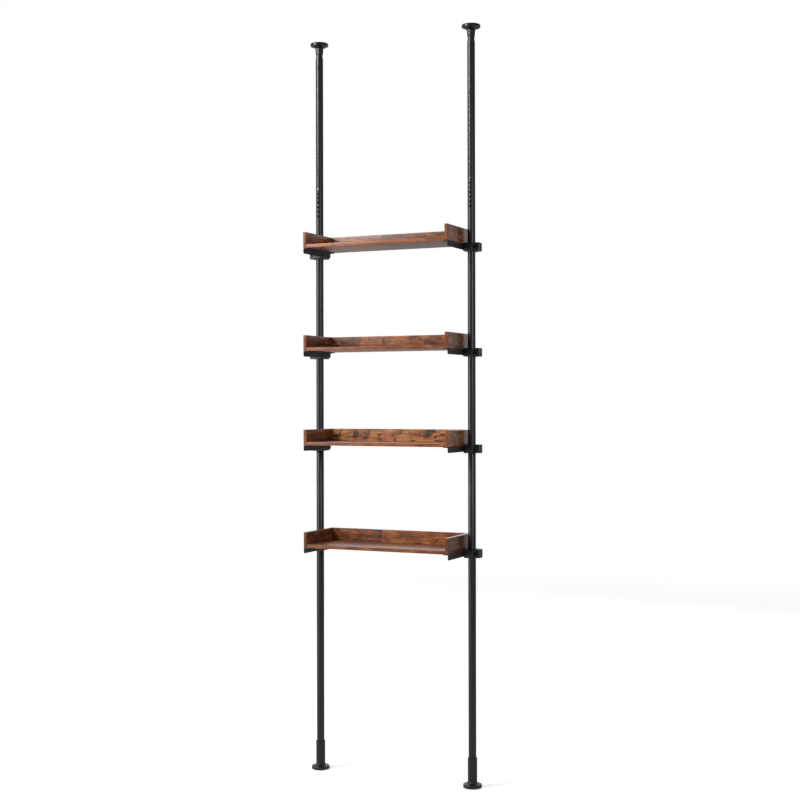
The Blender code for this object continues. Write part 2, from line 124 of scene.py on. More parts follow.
def soften(outline, radius, steps=4, closed=True):
    """Each corner of an outline in the plane becomes an arc of its radius that touches both of
    its sides: the arc's centre lies on the bisector, at radius over the sine of half the angle."""
    corner = np.asarray(outline, float)
    radius = np.broadcast_to(np.asarray(radius, float), len(corner)).copy()
    before = np.roll(corner, 1, axis=0) - corner
    after = np.roll(corner, -1, axis=0) - corner
    if not closed:
        radius[[0, -1]] = 0
        before[0], after[-1] = -after[0], -before[-1]
    before /= np.linalg.norm(before, axis=1)[:, None]
    after /= np.linalg.norm(after, axis=1)[:, None]
    half = np.arccos(np.clip((before * after).sum(axis=1), -1, 1)) / 2
    reach = radius / np.tan(half)
    start = corner + before * reach[:, None]
    end = corner + after * reach[:, None]
    bisector = before + after
    length = np.linalg.norm(bisector, axis=1)
    bisector /= np.where(length > 1e-9, length, 1)[:, None]
    centre = corner + bisector * (radius / np.sin(half))[:, None]
    turn = math.pi - 2 * half
    share = np.linspace(0, 1, steps + 1)[None, :]
    span = np.where(np.abs(np.sin(turn)) > 1e-6, np.sin(turn), 1)[:, None]
    near = np.sin((1 - share) * turn[:, None]) / span
    far = np.sin(share * turn[:, None]) / span
    arc = (centre[:, None] + near[..., None] * (start - centre)[:, None]
           + far[..., None] * (end - centre)[:, None])
    points = arc.reshape(-1, 2)
    step = np.linalg.norm(points - np.roll(points, 1, axis=0), axis=1)
    keep = step > 1e-7
    if not closed:
        keep[0] = True
    return points[keep]


def around(radius, height, turn, axis, along="z"):
    """Rings of radii (rings, turns) and heights round an axis. The axis stands at (x, y), or for
    along="-y" it lies along the line of x and z, with heights counted from y towards the front."""
    across, beside = radius * np.cos(turn), radius * np.sin(turn)
    level = np.broadcast_to(height[:, None], radius.shape)
    if along == "z":
        return np.stack([axis[0] + across, axis[1] + beside, level], axis=-1)
    return np.stack([axis[0] + across, axis[1] - level, axis[2] + beside], axis=-1)


def lathe(profile, axis, steps=72, along="z"):
    """A profile (radius, height) carried once round its axis."""
    turn = np.linspace(0, 2 * math.pi, steps + 1)
    radius, height = np.asarray(profile, float).T
    return around(np.repeat(radius[:, None], len(turn), axis=1), height, turn, axis, along)


def rounded_box(low, high, radius, steps=3):
    """Six grids of a box with round edges: a point of the plain box is drawn to the ball of the
    radius round the nearest point of the core, the box shrunk by the radius on every side."""
    low, high = np.asarray(low, float), np.asarray(high, float)
    inset = radius * (1 - np.tan(np.linspace(math.pi / 4, 0, steps + 1)))
    grids = []
    for side in range(3):
        one, two = (side + 1) % 3, (side + 2) % 3
        first = np.concatenate([low[one] + inset, high[one] - inset[::-1]])
        second = np.concatenate([low[two] + inset, high[two] - inset[::-1]])
        for face in (low, high):
            plain = np.empty((len(first), len(second), 3))
            plain[..., side] = face[side]
            plain[..., one] = first[:, None]
            plain[..., two] = second[None, :]
            core = np.clip(plain, low + radius, high - radius)
            away = plain - core
            grids.append(core + away * (radius / np.linalg.norm(away, axis=-1))[..., None])
    return grids


def extrude(outline, low, high, rounding, steps=3):
    """Rings of a closed outline (x, y) from low to high. Near each end the outline draws in along
    its own normals on a quarter circle. Returns the surface and its two end faces."""
    after, before = np.roll(outline, -1, axis=0), np.roll(outline, 1, axis=0)
    tangent = after - before
    normal = np.stack([tangent[:, 1], -tangent[:, 0]], axis=-1)
    normal /= np.linalg.norm(normal, axis=1)[:, None]
    area = np.sum(outline[:, 0] * after[:, 1] - outline[:, 1] * after[:, 0])
    normal *= math.copysign(1, area)
    angle = np.linspace(0, math.pi / 2, steps + 1)
    inset = rounding * (1 - np.sin(angle))
    rise = rounding * (1 - np.cos(angle))
    insets = np.concatenate([inset, inset[::-1]])
    heights = np.concatenate([low + rise, high - rise[::-1]])
    rings = np.empty((len(insets), len(outline), 3))
    rings[..., :2] = outline[None] - normal[None] * insets[:, None, None]
    rings[..., 2] = heights[:, None]
    return capped(rings)


def pierced_tube(axis, outer, inner, low, high, heights, hole, pitch, columns=56, side=4):
    """A tube's two walls with a row of round holes drilled into its front. Round each hole the
    wall is a patch that goes from the hole's circle to the edge of its square cell; the rest of
    the wall is a plain grid. A patch's point is its place across the tube, x, and its height, put
    on the cylinder at the angle whose sine is x over the outer radius."""
    share = np.linspace(-1, 1, side + 1)[:-1]
    one = np.ones(side)
    square = np.concatenate([np.stack([one, share], -1), np.stack([-share, one], -1),
                             np.stack([-one, -share], -1), np.stack([share, -one], -1)])
    angle = np.concatenate([share * math.pi / 4 + quarter * math.pi / 2 for quarter in range(4)])
    square = np.concatenate([square, square[:1]])
    angle = np.concatenate([angle, angle[:1]])
    circle = hole * np.stack([np.cos(angle), np.sin(angle)], -1)
    half = pitch / 2
    cell = square * half
    # Rings of a patch, as shares of the way from the hole's circle to the cell's edge.
    spread = np.array([0, 0.12, 0.5, 1.0])[:, None, None]
    patch = circle[None] * (1 - spread) + cell[None] * spread
    edge = half * np.linspace(-1, 1, side + 1)
    row_low, row_high = heights.min() - half, heights.max() + half
    ladder = np.linspace(row_low, row_high, len(heights) * side + 1)

    def on_wall(across, height, radius):
        """A patch's points on the wall of the given radius."""
        lean = np.arcsin(across / outer)
        return np.stack([axis[0] + radius * np.sin(lean), axis[1] - radius * np.cos(lean), height], -1)

    def round_wall(turn, height, radius):
        """Points on a wall at turns counted from the front."""
        turn, height = np.broadcast_arrays(turn, height)
        return np.stack([axis[0] + radius * np.sin(turn), axis[1] - radius * np.cos(turn), height], -1)

    lean = math.asin(half / outer)
    front = np.arcsin(edge / outer)
    rest = np.linspace(lean, 2 * math.pi - lean, columns + 1)
    whole = np.concatenate([front, rest[1:]])
    levels = np.concatenate([[low], ladder, [high]])
    grids = []
    for radius in (outer, inner):
        for height in heights:
            grids.append(on_wall(patch[..., 0], height + patch[..., 1], radius))
        grids.append(round_wall(rest[None, :], levels[:, None], radius))
        grids.append(round_wall(front[None, :], np.array([low, row_low])[:, None], radius))
        grids.append(round_wall(front[None, :], np.array([row_high, high])[:, None], radius))
    for height in heights:
        rim = [on_wall(circle[:, 0], height + circle[:, 1], radius) for radius in (outer, inner)]
        grids.append(np.stack(rim))
    for height in (low, high):
        level = np.full(whole.shape, height)
        grids.append(np.stack([round_wall(whole, level, radius) for radius in (outer, inner)]))
    return join_grids(grids)


# Materials

def linear(hex_colour):
    """An sRGB hex colour as linear light, with alpha 1."""
    value = np.array([int(hex_colour[i:i + 2], 16) / 255 for i in (1, 3, 5)])
    light = np.where(value <= 0.04045, value / 12.92, ((value + 0.055) / 1.055) ** 2.4)
    return (*light.tolist(), 1.0)


def feed(tree, node, inputs):
    """Sets inputs of a node, each to a value or to the socket that is linked to it."""
    for key, value in inputs.items():
        if isinstance(value, bpy.types.NodeSocket):
            tree.links.new(value, node.inputs[key])
        else:
            node.inputs[key].default_value = value


def add_node(tree, kind, inputs=None, stops=None, **settings):
    """Adds a node: settings are its properties, inputs are values or sockets to link, and stops
    are the places and hex colours of a colour ramp."""
    made = tree.nodes.new(kind)
    for key, value in settings.items():
        setattr(made, key, value)
    if stops:
        ramp = made.color_ramp
        while len(ramp.elements) < len(stops):
            ramp.elements.new(0.5)
        for element, (place, colour) in zip(ramp.elements, stops):
            element.position = place
            element.color = linear(colour)
    feed(tree, made, inputs or {})
    return made


def new_material(name):
    """An empty material with its Principled shader and its Object coordinates."""
    material = bpy.data.materials.new(name)
    material.use_nodes = True
    tree = material.node_tree
    shader = tree.nodes["Principled BSDF"]
    place = add_node(tree, "ShaderNodeTexCoord").outputs["Object"]
    return material, tree, shader, place


def cloudy_skin(tree, shader, place, scale, detail, stops, gloss=None):
    """One soft cloud sets the colour between the stops and, where gloss bounds it, the roughness.
    scale is the number of clouds in a metre."""
    cloud = add_node(tree, "ShaderNodeTexNoise", {"Vector": place, "Scale": scale, "Detail": detail})
    tint = add_node(tree, "ShaderNodeValToRGB", {"Fac": cloud.outputs["Fac"]}, stops=stops)
    feed(tree, shader, {"Base Color": tint.outputs["Color"]})
    if gloss:
        rough = add_node(tree, "ShaderNodeMapRange", {"Value": cloud.outputs["Fac"], "From Min": 0.3,
                         "From Max": 0.7, "To Min": gloss[0], "To Max": gloss[1]})
        feed(tree, shader, {"Roughness": rough.outputs["Result"]})


def fine_bump(tree, shader, place, size, detail, strength):
    """A grain of the given size, 0.1 mm high at full strength."""
    grain = add_node(tree, "ShaderNodeTexNoise", {"Vector": place, "Scale": 1 / size, "Detail": detail})
    bump = add_node(tree, "ShaderNodeBump", {"Height": grain.outputs["Fac"], "Strength": strength,
                    "Distance": 0.0001})
    feed(tree, shader, {"Normal": bump.outputs["Normal"]})


def powder_coat(name, low, high, peel):
    """Black polyester powder baked on steel: a black skin with long soft highlights and a faint orange
    peel. low and high bound its roughness, and peel is how strong the orange peel is."""
    material, tree, shader, place = new_material(name)
    cloudy_skin(tree, shader, place, 18.0, 3.0, [(0.3, "#0e0d14"), (0.7, "#16151d")], (low, high))
    # Orange peel, 1.2 mm from crest to crest.
    fine_bump(tree, shader, place, 0.0012, 1.0, peel)
    feed(tree, shader, {"IOR": 1.5, "Specular Tint": linear("#f8f7ff")})
    return material


def moulded_nylon(name, low, high, specular):
    """Black nylon, injection moulded: a fine even grain under a soft sheen. low and high bound its
    roughness, and specular is its share of shine."""
    material, tree, shader, place = new_material(name)
    cloudy_skin(tree, shader, place, 60.0, 4.0, [(0.3, "#0a090d"), (0.7, "#121116")], (low, high))
    # Mould grain, 0.5 mm across: coarser than the real 0.1 mm, so that it shows.
    fine_bump(tree, shader, place, 0.0005, 1.0, 0.10)
    feed(tree, shader, {"IOR": 1.53, "Specular IOR Level": specular})
    return material


def cured_rubber():
    """Black carbon-filled rubber, pressed: matt, with a grey bloom in patches."""
    material, tree, shader, place = new_material("black pressed rubber")
    cloudy_skin(tree, shader, place, 90.0, 5.0, [(0.35, "#121212"), (0.75, "#222222")])
    fine_bump(tree, shader, place, 0.0006, 2.0, 0.3)
    feed(tree, shader, {"Roughness": 0.82, "IOR": 1.52})
    return material


def plated_steel(name, dull, bright, low, high):
    """Electroplated steel: bright crystals under a thin film, cloudy at the scale of a few
    millimetres, with a soft broken reflection."""
    material, tree, shader, place = new_material(name)
    cloudy_skin(tree, shader, place, 400.0, 4.0, [(0.3, dull), (0.7, bright)], (low, high))
    feed(tree, shader, {"Metallic": 1.0})
    return material


def grain_scale(axis, length, width):
    """Scale of a pattern whose marks have the given length along one axis and width across it."""
    return tuple(1 / length if name == axis else 1 / width for name in "xyz")


# Patterns of the printed paper: the length of a mark along the grain and its width across it, then the
# detail, the roughness and the distortion of its noise. Streaks are early and late wood.
PRINT_MARKS = {
    "mottle": (0.036, 0.016, 4.0, 0.6, 0.6),
    "streak": (0.18, 0.008, 4.0, 0.6, 0.7),
    "line": (0.08, 0.0015, 3.0, 0.6, 0.0),
    "saw": (0.0024, 0.045, 2.0, 0.5, 0.0),
    "pore": (0.014, 0.0007, 1.0, 0.5, 0.0),
    "stain": (0.046, 0.026, 6.0, 0.62, 1.0),
}
# Marks that darken the wood: their share, the noise at their darkest and where they end, and a tint.
DARK_MARKS = {"line": (0.7, 0.30, 0.55, "#9d8d84"), "saw": (0.2, 0.32, 0.56, "#a89a92"),
              "pore": (0.8, 0.28, 0.40, "#6b5850")}
PLANK_LENGTH = 0.21
KNOT_FIELD = (0.15, 0.055)     # length and width of the fields that may hold a knot


def rustic_board(name, grain, low, high):
    """Particle board under a printed wood-grain paper, pressed satin: short orange-brown planks,
    mottled and streaked, with fine lines and pores along the grain, faint saw marks across it, smoky
    dark stains and a few knots. low and high bound its roughness."""
    material, tree, shader, place = new_material(name)
    # Each board was cut from another part of the print: lighter or darker, and further along. Its tone also
    # holds painted shade on the left boards and the top deck.
    tone = add_node(tree, "ShaderNodeAttribute", attribute_name="board_tone_and_shade").outputs["Fac"]
    cut = add_node(tree, "ShaderNodeAttribute", attribute_name="board_cut").outputs["Fac"]
    # Planks of the print, with a dark joint line of about 1.2 mm between them.
    along = add_node(tree, "ShaderNodeSeparateXYZ", {"Vector": place}).outputs[grain.upper()]
    row = add_node(tree, "ShaderNodeMath", {0: along, 1: 1 / PLANK_LENGTH, 2: cut}, operation="MULTIPLY_ADD")
    plank = add_node(tree, "ShaderNodeTexVoronoi", {"W": row.outputs[0], "Scale": 1.0},
                     voronoi_dimensions="1D", feature="F1")
    plank = add_node(tree, "ShaderNodeSeparateColor", {"Color": plank.outputs["Color"]})
    joint = add_node(tree, "ShaderNodeTexVoronoi", {"W": row.outputs[0], "Scale": 1.0},
                     voronoi_dimensions="1D", feature="DISTANCE_TO_EDGE")
    joint = add_node(tree, "ShaderNodeMapRange", {"Value": joint.outputs["Distance"], "From Min": 0.0012,
                     "From Max": 0.0045, "To Min": 0.45, "To Max": 0.0})
    noise = {}
    for mark, (length, width, detail, rough, bend) in PRINT_MARKS.items():
        where = add_node(tree, "ShaderNodeMapping", {"Vector": place,
                         "Scale": grain_scale(grain, length, width)})
        made = add_node(tree, "ShaderNodeTexNoise", {"Vector": where.outputs["Vector"], "Scale": 1.0,
                        "Detail": detail, "Roughness": rough, "Distortion": bend})
        noise[mark] = made.outputs["Fac"]
    # Light and dark wood: mottles and streaks, with a little of each plank's tone and the board's tone, which
    # holds painted shade on some boards.
    both = add_node(tree, "ShaderNodeMath", {0: noise["mottle"], 1: noise["streak"]}, operation="ADD")
    both = add_node(tree, "ShaderNodeMath", {0: plank.outputs["Red"], 1: 0.2, 2: both.outputs[0]},
                    operation="MULTIPLY_ADD")
    both = add_node(tree, "ShaderNodeMath", {0: both.outputs[0], 1: tone}, operation="ADD")
    light = add_node(tree, "ShaderNodeMapRange", {"Value": both.outputs[0], "From Min": 0.78,
                     "From Max": 1.42})
    wood = add_node(tree, "ShaderNodeValToRGB", {"Fac": light.outputs["Result"]},
                    stops=[(0.0, "#4a2918"), (0.25, "#6f4025"), (0.5, "#8f522d"), (0.75, "#ae6a3b"),
                           (1.0, "#c6864f")])
    colour = wood.outputs["Color"]
    for mark, (share, darkest, end, tint) in DARK_MARKS.items():
        shade = add_node(tree, "ShaderNodeValToRGB", {"Fac": noise[mark]},
                         stops=[(darkest, tint), (end, "#ffffff")])
        layer = add_node(tree, "ShaderNodeMix", {0: share, 6: colour, 7: shade.outputs["Color"]},
                         data_type="RGBA", blend_type="MULTIPLY")
        colour = layer.outputs[2]
    # Smoky stains, feathered along the fine lines.
    ragged = add_node(tree, "ShaderNodeMath", {0: noise["line"], 1: 0.25, 2: noise["stain"]},
                      operation="MULTIPLY_ADD")
    ragged = add_node(tree, "ShaderNodeMath", {0: tone, 1: 0.3, 2: ragged.outputs[0]},
                      operation="MULTIPLY_ADD")
    smoke = add_node(tree, "ShaderNodeMapRange", {"Value": ragged.outputs[0], "From Min": 0.67,
                     "From Max": 0.78, "To Min": 0.0, "To Max": 0.9}, interpolation_type="SMOOTHSTEP")
    stained = add_node(tree, "ShaderNodeMix", {0: smoke.outputs["Result"], 6: colour,
                       7: linear("#2b1d1a")}, data_type="RGBA")
    # Knots in about half of the fields, each a dark eye some 16 mm long and 7 mm wide.
    where = add_node(tree, "ShaderNodeMapping", {"Vector": place, "Scale": grain_scale(grain, *KNOT_FIELD)})
    knot = add_node(tree, "ShaderNodeTexVoronoi", {"Vector": where.outputs["Vector"], "Scale": 1.0},
                    feature="F1")
    eye = add_node(tree, "ShaderNodeMapRange", {"Value": knot.outputs["Distance"], "From Min": 0.03,
                   "From Max": 0.08, "To Min": 0.9, "To Max": 0.0}, interpolation_type="SMOOTHSTEP")
    chance = add_node(tree, "ShaderNodeSeparateColor", {"Color": knot.outputs["Color"]})
    chosen = add_node(tree, "ShaderNodeMath", {0: chance.outputs["Red"], 1: 0.5}, operation="GREATER_THAN")
    dark = add_node(tree, "ShaderNodeMath", {0: eye.outputs["Result"], 1: chosen.outputs[0]},
                    operation="MULTIPLY")
    dark = add_node(tree, "ShaderNodeMath", {0: dark.outputs[0], 1: joint.outputs["Result"]},
                    operation="MAXIMUM")
    knotted = add_node(tree, "ShaderNodeMix", {0: dark.outputs[0], 6: stained.outputs[2],
                       7: linear("#231716")}, data_type="RGBA")
    gloss = add_node(tree, "ShaderNodeMapRange", {"Value": noise["line"], "From Min": 0.3,
                     "From Max": 0.6, "To Min": high, "To Max": low})
    bump = add_node(tree, "ShaderNodeBump", {"Height": noise["pore"], "Strength": 0.12,
                    "Distance": 0.0001})
    feed(tree, shader, {"Base Color": knotted.outputs[2], "Roughness": gloss.outputs["Result"],
                        "Normal": bump.outputs["Normal"], "IOR": 1.5, "Specular IOR Level": 0.45})
    return material


def edge_band(name, scale, low, high, specular, coat=0.0):
    """Printed ABS edge band, ironed on and trimmed: cleaner and more orange than the faces, with fine
    strokes along the edge and a slight sheen. low and high bound its roughness, specular is its share
    of shine, and coat the share of a smooth skin on top."""
    material, tree, shader, place = new_material(name)
    where = add_node(tree, "ShaderNodeMapping", {"Vector": place, "Scale": scale})
    stroke = add_node(tree, "ShaderNodeTexNoise", {"Vector": where.outputs["Vector"], "Scale": 1.0,
                      "Detail": 3.0, "Roughness": 0.6})
    # Cloudy changes of tone, about 45 mm across.
    cloud = add_node(tree, "ShaderNodeTexNoise", {"Vector": place, "Scale": 1 / 0.045, "Detail": 3.0})
    # The band's tone holds painted light: lighter on the upper decks, darker on the lower ones, and shade on
    # the left panels.
    tone = add_node(tree, "ShaderNodeAttribute", attribute_name="band_tone_and_light").outputs["Fac"]
    both = add_node(tree, "ShaderNodeMath", {0: stroke.outputs["Fac"], 1: cloud.outputs["Fac"]},
                    operation="ADD")
    both = add_node(tree, "ShaderNodeMath", {0: both.outputs[0], 1: tone}, operation="ADD")
    light = add_node(tree, "ShaderNodeMapRange", {"Value": both.outputs[0], "From Min": 0.72,
                     "From Max": 1.28})
    tint = add_node(tree, "ShaderNodeValToRGB", {"Fac": light.outputs["Result"]},
                    stops=[(0.1, "#5a2e15"), (0.5, "#7b4324"), (0.9, "#985930")])
    gloss = add_node(tree, "ShaderNodeMapRange", {"Value": stroke.outputs["Fac"], "From Min": 0.3,
                     "From Max": 0.7, "To Min": low, "To Max": high})
    feed(tree, shader, {"Base Color": tint.outputs["Color"], "Roughness": gloss.outputs["Result"],
                        "IOR": 1.5, "Specular IOR Level": specular, "Coat Weight": coat,
                        "Coat Roughness": 0.10})
    return material


POWDER_COAT = powder_coat("black satin powder-coated steel", 0.32, 0.34, 0.012)
MATT_COAT = powder_coat("black matt powder-coated steel", 0.55, 0.65, 0.15)
NYLON = moulded_nylon("black smooth-moulded nylon", 0.27, 0.35, 0.42)
GRAINED_NYLON = moulded_nylon("black grained nylon", 0.40, 0.50, 0.45)
RUBBER = cured_rubber()
ZINC = plated_steel("zinc-plated steel", "#9a9ca0", "#c9cbce", 0.28, 0.40)
BLACK_ZINC = plated_steel("black zinc-plated steel", "#1f2022", "#323337", 0.32, 0.44)
NICKEL = plated_steel("nickel-plated steel", "#6d6b6e", "#8f8d8f", 0.24, 0.34)
SPRING_STEEL = plated_steel("tempered spring steel", "#5d5c5e", "#7f7d7c", 0.25, 0.35)
BOARD_LONG = rustic_board("rustic board, grain along the shelf", "x", 0.33, 0.40)
BOARD_CROSS = rustic_board("rustic board, grain along the depth", "y", 0.28, 0.35)
# Strokes of the print, 45 mm long and 2.5 mm wide.
ALONG, ROUND = grain_scale("x", 0.045, 0.0025), grain_scale("x", 0.0025, 0.045)
BAND_LONG = edge_band("printed edge band along the shelf", ALONG, 0.29, 0.36, 0.42)
BAND_PANEL = edge_band("printed edge band round the panels", ROUND, 0.42, 0.50, 0.22)
# Buffed by hand along the tops, which gives them a white glint when they are seen from low down.
BAND_TOP = edge_band("printed edge band, buffed", ROUND, 0.42, 0.50, 0.22, coat=0.9)


# Boards

BOARD_EDGE = 0.0008            # rounding of the boards' edges
# How much lighter than the mean each shelf's deck, back, left and right board are. Their tones differ at
# random, and painted shade darkens the left boards, whose inner faces lie in shade, and the top deck, whose
# underside is seen in shade.
BOARD_TONES_AND_SHADE = {"bottom": (0.0, -0.01, -0.15, -0.30), "lower": (0.10, 0.20, -0.24, 0.0),
               "upper": (0.0, -0.03, -0.28, -0.05), "top": (-0.10, 0.03, -0.04, -0.04)}
# Painted light on the edge band of each deck: lighter on the top shelf and darker on the bottom one, as the
# key lamp's light falls off downwards. The panels' bands follow their boards a little, painted shade
# included.
BAND_PAINTED_LIGHT = {"bottom": -0.06, "lower": 0.015, "upper": 0.0, "top": 0.17}
PANEL_BAND_SHARE = 0.15
# How many planks along the print each shelf starts, and each of its boards after the one before.
BOARD_CUTS = {"bottom": 0.0, "lower": 5.6, "upper": 11.3, "top": 17.9}
CUT_STEP = 2.3


def make_boards(level):
    """Deck and panels as boards with soft edges. Their broad faces carry the printed paper, the
    narrow ones the edge band."""
    long, cross = [BOARD_LONG, BAND_LONG, BAND_LONG], [BOARD_CROSS, BAND_PANEL, BAND_TOP]
    boards = {"deck": (2, long), "back_panel": (1, long), "left_panel": (0, cross), "right_panel": (0, cross)}
    for place, (board, (thin_axis, finishes)) in enumerate(boards.items()):
        node = f"{level}_shelf_{board}"
        points, quads = join_grids(rounded_box(*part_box(node), BOARD_EDGE))
        # The box has six faces, two to an axis. The last is its top.
        finish = np.array([1, 1, 1, 1, 1, 2])
        finish[2 * thin_axis:2 * thin_axis + 2] = 0
        piece = add_piece(f"{node}_board", (points, quads), finishes, f"{level}_shelf", [node],
                          np.repeat(finish, len(quads) // 6))
        # Each board's tone, with painted shade on the left boards and the top deck, and its band's painted
        # light.
        tone = BOARD_TONES_AND_SHADE[level][place]
        values = {"board_tone_and_shade": tone, "board_cut": BOARD_CUTS[level] + CUT_STEP * place,
                  "band_tone_and_light": BAND_PAINTED_LIGHT[level] if board == "deck" else PANEL_BAND_SHARE * tone}
        for name, value in values.items():
            attribute = piece.data.attributes.new(name, "FLOAT", "POINT")
            attribute.data.foreach_set("value", np.full(len(piece.data.vertices), value))


# Brackets and clamps

BRACKET_STEEL = 0.002
BRACKET_BEND = 0.003           # outer radius of the bend
BRACKET_CORNER = 0.006         # radius of the leg's lower corners
BRACKET_EDGE = 0.0004          # rounding of the sheet's cut edges
SEAT_SCREW_INSET = 0.0095      # from the leg's inner face
SEAT_SCREW_FRONT = 0.024       # from the bracket's front end
SEAT_SCREW_BACK = 0.018        # from its back end
LEG_SCREW_BESIDE = 0.020       # before and behind the pole's axis
LEG_SCREW_DROP = 0.0005        # below the middle of the leg


def make_bracket(level, side, sign):
    """A pressed steel angle: its L-shaped section is carried along the depth, and near both ends
    the leg shortens on a quarter circle, which rounds its lower corners."""
    node = f"{level}_shelf_{side}_bracket"
    low, high, _, half_seat = node_box(node)
    outer = high[0] if sign > 0 else low[0]
    seat, leg = 2 * half_seat, high[2] - low[2]
    quarter = np.linspace(0, math.pi / 2, 7)
    reach = BRACKET_CORNER * (1 - np.cos(quarter))
    drop = BRACKET_CORNER * (1 - np.sin(quarter))
    stations = np.concatenate([low[1] + reach, high[1] - reach[::-1]])
    short = np.concatenate([drop, drop[::-1]])
    # The section goes from the seat's inner edge round the bend to the leg's foot and back.
    section = soften([(seat, 0), (0, 0), (0, leg), (BRACKET_STEEL, leg), (BRACKET_STEEL, BRACKET_STEEL),
                      (seat, BRACKET_STEEL)],
                     [BRACKET_EDGE, BRACKET_BEND, BRACKET_EDGE, BRACKET_EDGE, BRACKET_BEND - BRACKET_STEEL,
                      BRACKET_EDGE])
    depth = section[None, :, 1] - short[:, None] * (section[None, :, 1] > leg / 2)
    rings = np.empty((len(stations), len(section), 3))
    rings[..., 0] = outer - sign * section[None, :, 0]
    rings[..., 1] = stations[:, None]
    rings[..., 2] = high[2] - depth
    surface, ends = capped(rings)
    add_piece(f"{node}_angle", surface, [MATT_COAT], f"{level}_shelf", [node], caps=ends)


def pan_head(place, out, beside):
    """A cross-recess pan head on a face: rings round its axis, from the recess's floor up its wall and
    over the dome to the rim. The recess is a four-lobed star whose radius swings from 0.5 to 1.6 mm
    with the fourth power of the cosine of twice the turn."""
    turn = np.linspace(0, 2 * math.pi, 49)
    rim, rim_height, dome, recess_floor = 0.0036, 0.0008, 0.0014, 0.0010
    star = 0.0005 + 0.0011 * np.cos(2 * turn) ** 4
    rings = [np.full(len(turn), radius) for radius in (0.0021, 0.0028, 0.0033, rim, rim)]
    radius = np.stack([0 * star, 0.8 * star, star, *rings, 0 * star])
    height = rim_height + dome * (1 - (radius / rim) ** 2)
    height[:2] = recess_floor
    height[-2:] = 0
    out, beside, place = (np.asarray(v, float) for v in (out, beside, place))
    across = np.cross(out, beside)
    around = np.cos(turn)[None, :, None] * beside + np.sin(turn)[None, :, None] * across
    return place + radius[..., None] * around + height[..., None] * out


def add_bracket_screws(level, side, sign):
    """Two screws hold the seat to the deck, and two the leg to the clamp behind it."""
    node = f"{level}_shelf_{side}_bracket"
    low, high, _, _ = node_box(node)
    pole_y = node_box(f"{side}_lower_tube")[2][1]
    inner = (high[0] - BRACKET_STEEL) if sign > 0 else (low[0] + BRACKET_STEEL)
    seat_x = inner - sign * SEAT_SCREW_INSET
    seat_z = high[2] - BRACKET_STEEL
    leg_z = (low[2] + seat_z) / 2 - LEG_SCREW_DROP
    grids = [pan_head((seat_x, y, seat_z), (0, 0, -1), (1, 0, 0))
             for y in (low[1] + SEAT_SCREW_FRONT, high[1] - SEAT_SCREW_BACK)]
    grids += [pan_head((inner, pole_y + offset, leg_z), (-sign, 0, 0), (0, 1, 0))
              for offset in (-LEG_SCREW_BESIDE, LEG_SCREW_BESIDE)]
    add_piece(f"{node}_screws", join_grids(grids), [BLACK_ZINC], f"{level}_shelf", sharp=50)


CLAMP_TAIL_THICK = 0.006
CLAMP_TAIL_SLANT = 0.005       # how much shorter the tail is at its foot
CLAMP_LIP = 0.016              # from the pole's axis to the ears' front and back faces
CLAMP_SLIT = 0.004
CLAMP_WALL = 0.0014            # from the bore to the shoulder where the ears start
CLAMP_EDGE = 0.0007            # rounding of the top and bottom edges


def clamp_outline(inner, shoulder, ear, jaw, tail, bore):
    """Plan of a split clamp, as one closed line: round the ears, the jaws and the tail behind them, in
    along one side of the slit, round the bore and out along the slit's other side."""
    half, lip = CLAMP_SLIT / 2, CLAMP_LIP
    tail_side = CLAMP_TAIL_THICK - inner
    outer = [(ear, half), (ear, lip), (shoulder, lip), (shoulder, jaw), (tail_side, jaw), (tail_side, tail),
             (-inner, tail), (-inner, -jaw), (shoulder, -jaw), (shoulder, -lip), (ear, -lip), (ear, -half)]
    radius = [0.0008, 0.003, 0.0015, 0.003, 0.002, 0.0015, 0.0008, 0.003, 0.003, 0.0015, 0.003, 0.0008]
    mouth = math.asin(half / bore)
    turn = np.linspace(-mouth, mouth - 2 * math.pi, 73)
    ring = bore * np.stack([np.cos(turn), np.sin(turn)], -1)
    joined = np.concatenate([np.array(outer), ring[[0, -1]]])
    softened = soften(joined, [*radius, 0, 0], 5)
    return np.concatenate([softened[:-1], ring])


def make_clamp(level, side, sign):
    """The clamp's plan is carried up its height. Behind the rear jaw the points lean forward by the
    share of the height that is left above them, which slants the tail's end."""
    node = f"{level}_shelf_{side}_clamp"
    low, high, middle, _ = node_box(node)
    _, _, axis, tube_radius = node_box(f"{side}_lower_tube")
    bore = tube_radius + FIT_GAP
    ear = (high[0] - axis[0]) if sign > 0 else (axis[0] - low[0])
    inner = (axis[0] - low[0]) if sign > 0 else (high[0] - axis[0])
    jaw = axis[1] - low[1]
    tail = high[1] - axis[1]
    outline = clamp_outline(inner, bore + CLAMP_WALL, ear, jaw, tail, bore)
    plan = np.stack([axis[0] + sign * outline[:, 0], axis[1] + outline[:, 1]], -1)
    (points, quads), ends = extrude(plan, low[2], high[2], CLAMP_EDGE)
    behind = np.clip((points[:, 1] - axis[1] - jaw) / (tail - jaw), 0, 1)
    points[:, 1] -= CLAMP_TAIL_SLANT * behind * (high[2] - points[:, 2]) / (high[2] - low[2])
    add_piece(f"{node}_body", (points, quads), [GRAINED_NYLON], f"{level}_shelf", [node], caps=ends)
    # A bolt draws the ears together, with its nut behind them.
    bolt_x = axis[0] + sign * (ear + bore) / 2
    add_bolt(f"{node}_bolt", (bolt_x, axis[1], middle[2]), f"{level}_shelf")


def six_sided(profile, centre, rows, width):
    """A profile (radius, height) carried round a line to the front. In the given rows the circle gives
    way to a hexagon whose corners lie at width times the radius."""
    turn = np.linspace(0, 2 * math.pi, 49)
    six = math.cos(math.pi / 6) / np.cos((turn + math.pi / 6) % (math.pi / 3) - math.pi / 6)
    radius, height = np.array(profile).T
    rings = np.repeat(radius[:, None], len(turn), axis=1)
    rings[rows] *= width * six
    return around(rings, height, turn, centre, "-y")


